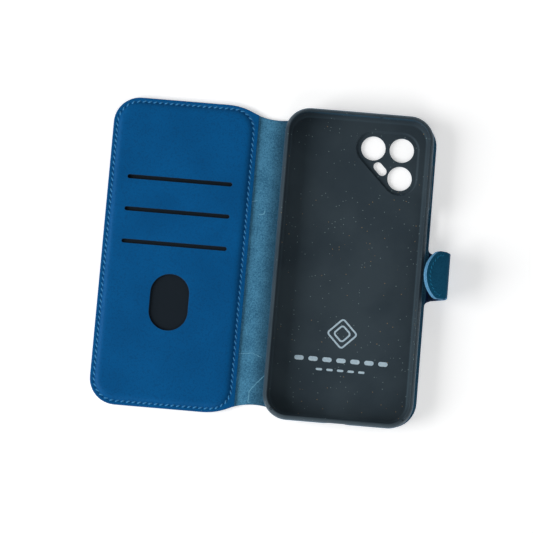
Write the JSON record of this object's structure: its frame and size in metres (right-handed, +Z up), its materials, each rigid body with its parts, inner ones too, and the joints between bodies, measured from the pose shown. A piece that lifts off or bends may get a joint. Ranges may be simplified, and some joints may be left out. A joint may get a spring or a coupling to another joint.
{
  "type": "phone wallet case",
  "caption": "Leather wallet case for a phone, open flat: front cover with card slots and thumb window, suede spine, moulded phone shell, and a folding magnetic clasp.",
  "frame": {"origin": "on the surface the open case lies on, under the middle of its outer box", "axes": "+X from the front cover towards the phone shell and the clasp, +Y towards the top of the phone, +Z up out of the open case"},
  "size_m": [0.1834, 0.1658, 0.0255],
  "materials": {
    "blue_leather": "smooth fine-grained blue leather",
    "navy_leather": "smooth navy leather",
    "blue_suede": "napped flesh side of the leather, pale blue",
    "dark_bioplastic": "satin moulded bioplastic with small pale flecks",
    "cover_board": "pressed fibre board",
    "black_lining": "fine black lining cloth",
    "blue_thread": "twisted polyester thread",
    "steel": "thin cold-rolled steel",
    "magnet": "nickel-plated magnet",
    "bonding_film": "clear bonding film"
  },
  "bodies": {
    "case_back": {"back_leather": "navy_leather", "bonding_film": "bonding_film", "phone_shell": "dark_bioplastic"},
    "spine": {"spine_leather": "blue_suede"},
    "front_cover": {"front_leather": "blue_leather", "cover_board": "cover_board", "keeper_plate": "steel", "pocket_liner_1": "black_lining", "pocket_liner_2": "black_lining", "pocket_liner_3": "black_lining", "card_panel": "blue_leather", "panel_stitching": "blue_thread", "outer_stitching": "blue_thread"},
    "strap": {"strap_leather": "blue_leather", "strap_lining": "navy_leather"},
    "tab": {"tab_leather": "blue_leather", "tab_lining": "blue_suede", "tab_magnet": "magnet", "tab_stitching": "blue_thread", "tab_stitching_under": "blue_thread"}
  },
  "joints": [
    {"name": "spine_fold", "type": "hinge", "parent": "case_back", "child": "spine", "pos_m": [0.00009, 0, 0.0016], "axis": [0, 1, 0], "range_deg": [0, 90]},
    {"name": "cover_fold", "type": "hinge", "parent": "spine", "child": "front_cover", "pos_m": [-0.01411, 0, 0.0012], "axis": [0, 1, 0], "range_deg": [0, 90]},
    {"name": "strap_fold", "type": "hinge", "parent": "case_back", "child": "strap", "pos_m": [0.08299, -0.0014, 0.0011], "axis": [0, -1, 0], "range_deg": [-55, 27]},
    {"name": "tab_fold", "type": "hinge", "parent": "strap", "child": "tab", "pos_m": [0.09009, -0.0014, 0.01679], "axis": [0, -1, 0], "range_deg": [-90, 0]}
  ]
}
